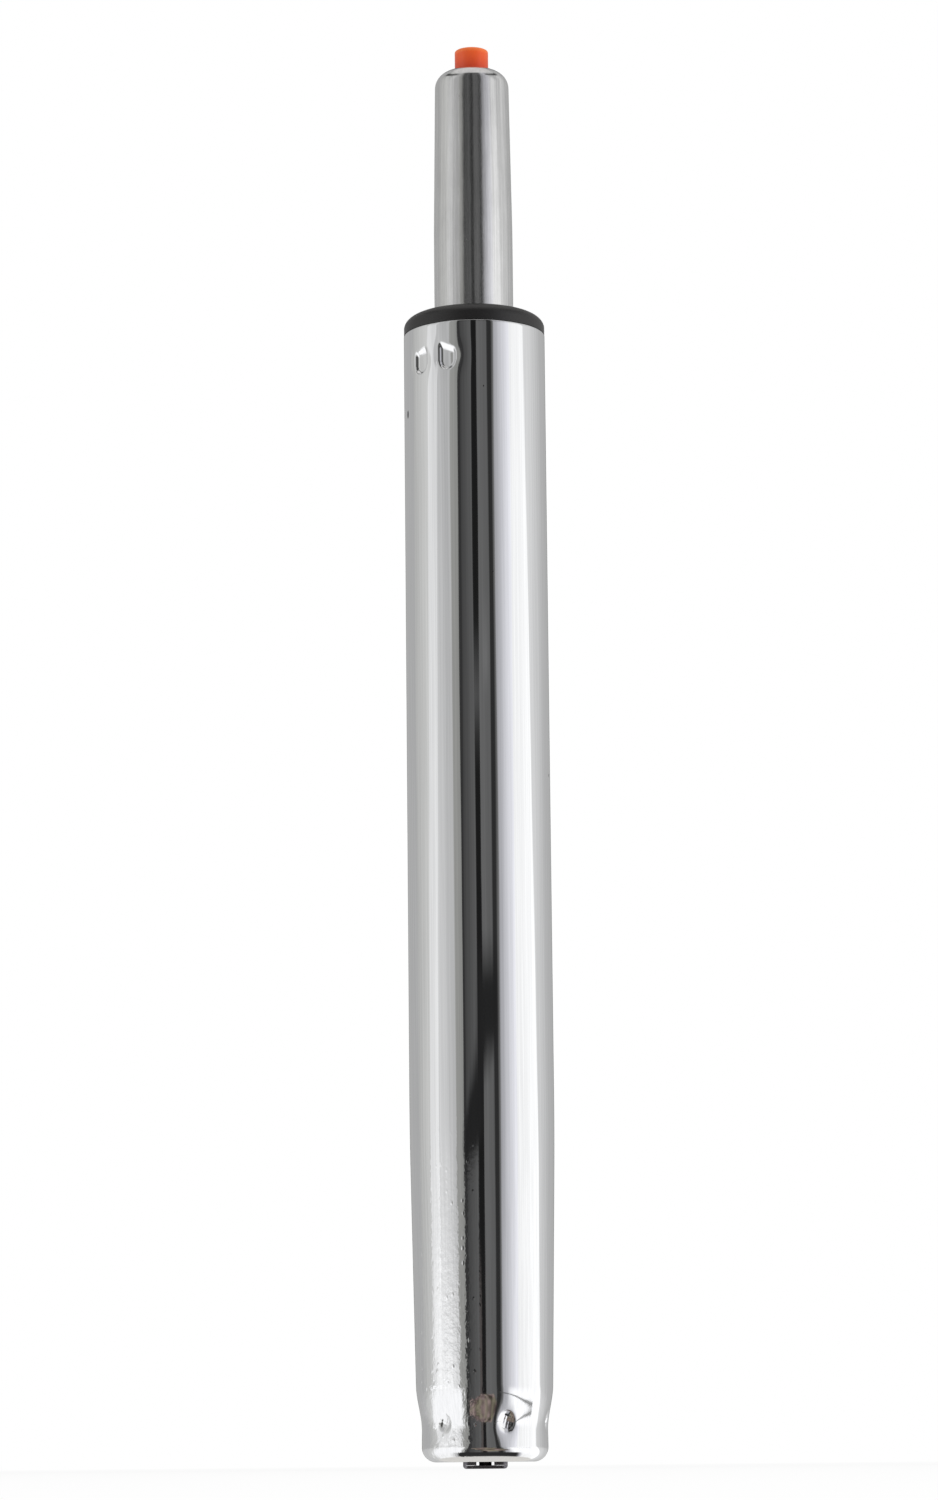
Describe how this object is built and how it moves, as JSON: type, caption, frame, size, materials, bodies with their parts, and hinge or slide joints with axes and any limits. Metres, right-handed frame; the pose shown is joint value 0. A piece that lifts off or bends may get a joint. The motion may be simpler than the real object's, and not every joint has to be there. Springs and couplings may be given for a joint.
{
  "type": "chair gas lift cylinder",
  "caption": "Chair height cylinder: a gas charged tube with a push button valve slides and swivels in a chromed column with tapered ends.",
  "frame": {"origin": "on the axis, in the plane of the column's bottom edge", "axes": "+Z along the axis, up towards the seat; -Y is the side that the picture shows"},
  "size_m": [0.05, 0.05, 0.503],
  "materials": {
    "chromed_steel": "bright chrome plate over drawn steel tube, with faint draw lines and a few small pits",
    "satin_tube_steel": "satin chrome over a ground tube, finely brushed round its length",
    "black_moulding": "satin black moulded plastic",
    "orange_moulding": "smooth orange moulded plastic",
    "white_moulding": "natural white moulded plastic",
    "zinc_plated_steel": "bright zinc plate on turned or pressed steel",
    "bearing_steel": "ground bearing steel",
    "brass_parts": "turned and pressed brass",
    "ground_rod_steel": "hard chrome, ground",
    "drawn_steel": "plain drawn steel, oiled",
    "black_rubber": "matt black rubber",
    "black_spring_steel": "oil blackened spring steel"
  },
  "bodies": {
    "column": {"column_tube": "chromed_steel", "guide_sleeve": "black_moulding", "base_bush": "zinc_plated_steel", "lower_race": "bearing_steel"},
    "cage": {"ball_cage": "brass_parts", "bearing_balls": "bearing_steel"},
    "rod": {"piston_rod": "ground_rod_steel", "upper_race": "bearing_steel", "support_washer": "zinc_plated_steel", "rubber_bumper": "black_rubber", "piston": "white_moulding", "piston_ring": "black_rubber", "piston_washer": "zinc_plated_steel", "piston_nut": "zinc_plated_steel", "clip_washer": "zinc_plated_steel", "retaining_clip": "black_spring_steel"},
    "tube": {"gas_tube": "satin_tube_steel", "end_ring": "zinc_plated_steel", "rod_seal": "black_rubber", "seal_washer": "zinc_plated_steel", "rod_guide": "white_moulding", "inner_cylinder": "drawn_steel", "valve_body": "brass_parts", "valve_body_rings": "black_rubber", "pin_seal": "black_rubber", "pin_guide": "white_moulding"},
    "button": {"release_button": "orange_moulding", "valve_pin": "ground_rod_steel"}
  },
  "joints": [
    {"name": "swivel", "type": "hinge", "parent": "column", "child": "rod", "pos_m": [0, 0, 0.0165], "axis": [0, 0, 1], "continuous": true},
    {"name": "cage_turn", "type": "hinge", "parent": "column", "child": "cage", "pos_m": [0, 0, 0.0165], "axis": [0, 0, 1], "continuous": true},
    {"name": "lift", "type": "slide", "parent": "rod", "child": "tube", "axis": [0, 0, 1], "range_m": [0, 0.26]},
    {"name": "button_press", "type": "slide", "parent": "tube", "child": "button", "axis": [0, 0, -1], "range_m": [0, 0.003], "stiffness_N_per_m": 5000, "springref_m": -0.0005}
  ],
  "couplings": [
    {"joint": "cage_turn", "follows": "swivel", "ratio": 0.5}
  ]
}
